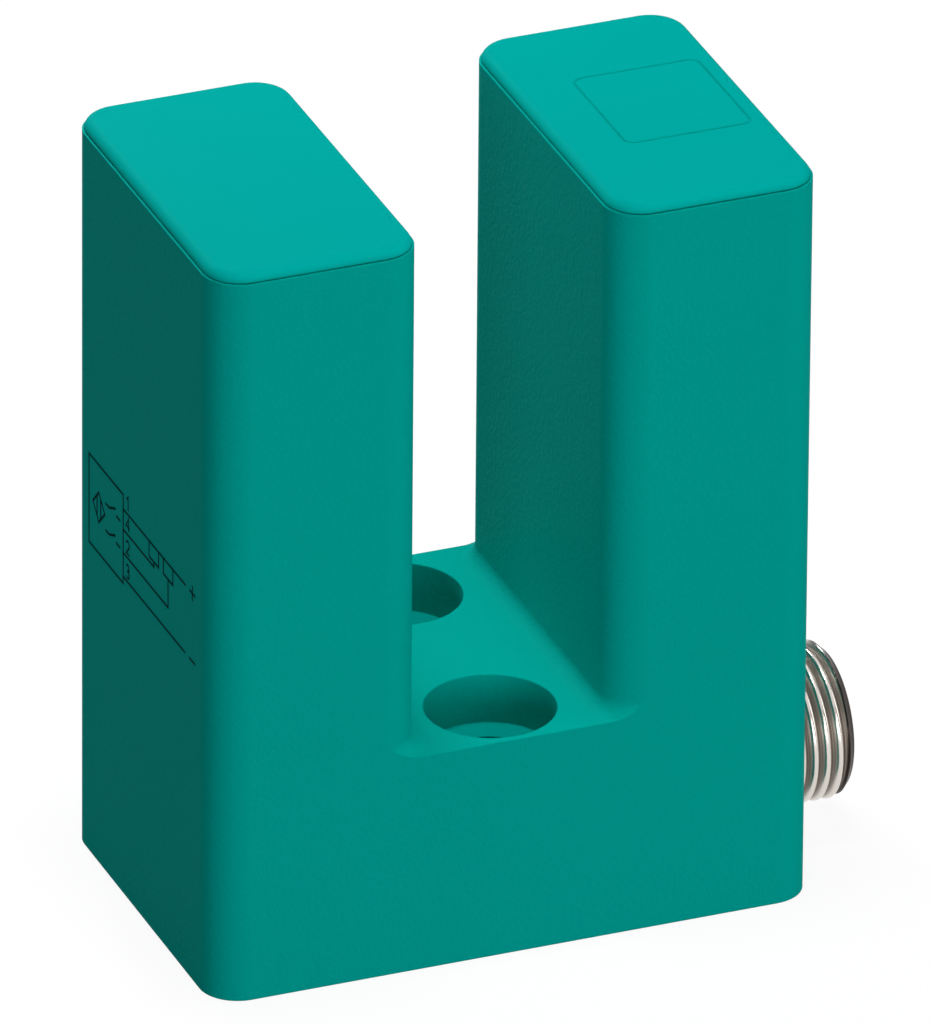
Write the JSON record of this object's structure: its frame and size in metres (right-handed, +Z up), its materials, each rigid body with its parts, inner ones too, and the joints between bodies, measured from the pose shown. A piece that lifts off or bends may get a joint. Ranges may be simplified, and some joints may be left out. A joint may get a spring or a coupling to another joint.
{
  "type": "inductive slot sensor",
  "caption": "U-shaped moulded sensor body with a deep slot between two capped legs, a counterbored base for screws and a threaded round plug connector low on one side.",
  "frame": {"origin": "centre of the flat mounting face under the base, midway between the two screw holes", "axes": "+Z up along the legs, X across the two legs with the connector on +X, -Y is the front face and the slot runs along Y"},
  "size_m": [0.0542, 0.03, 0.0603],
  "materials": {
    "housing_plastic": "fine grained moulding",
    "cap_plastic": "smooth moulding",
    "plated_brass": "nickel plated, turned",
    "seal_rubber": "plain",
    "black_plastic": "plain",
    "board_laminate": "satin",
    "ferrite": "fired, matt",
    "carrier_plastic": "plain moulding",
    "copper_wire": "enamelled copper",
    "ceramic": "fired",
    "component_black": "moulded",
    "gold_plate": "gold plated",
    "wire_brown": "plain",
    "wire_white": "plain",
    "wire_blue": "plain",
    "wire_black": "plain"
  },
  "bodies": {
    "root": {"housing": "housing_plastic", "left_cap": "cap_plastic", "right_cap": "cap_plastic", "base_resistor": "component_black", "circuit_board": "board_laminate", "connector_seal": "seal_rubber", "connector_shell": "plated_brass", "connector_wire_1": "wire_brown", "connector_wire_2": "wire_white", "connector_wire_3": "wire_blue", "connector_wire_4": "wire_black", "contact_insert": "black_plastic", "contact_pin_1": "gold_plate", "contact_pin_2": "gold_plate", "contact_pin_3": "gold_plate", "contact_pin_4": "gold_plate", "filter_capacitor": "ceramic", "left_coil_bobbin": "carrier_plastic", "left_coil_carrier": "carrier_plastic", "left_coil_lead_1": "copper_wire", "left_coil_lead_2": "copper_wire", "left_coil_winding": "copper_wire", "left_ferrite_core": "ferrite", "left_tank_capacitor": "ceramic", "output_transistor": "component_black", "polarity_diode": "component_black", "pull_up_resistor": "component_black", "right_coil_bobbin": "carrier_plastic", "right_coil_carrier": "carrier_plastic", "right_coil_lead_1": "copper_wire", "right_coil_lead_2": "copper_wire", "right_coil_winding": "copper_wire", "right_ferrite_core": "ferrite", "right_tank_capacitor": "ceramic", "sense_resistor": "component_black", "sensing_chip": "component_black", "supply_capacitor": "component_black", "surge_diode": "component_black", "threshold_resistor": "component_black", "voltage_regulator": "component_black"}
  },
  "joints": []
}
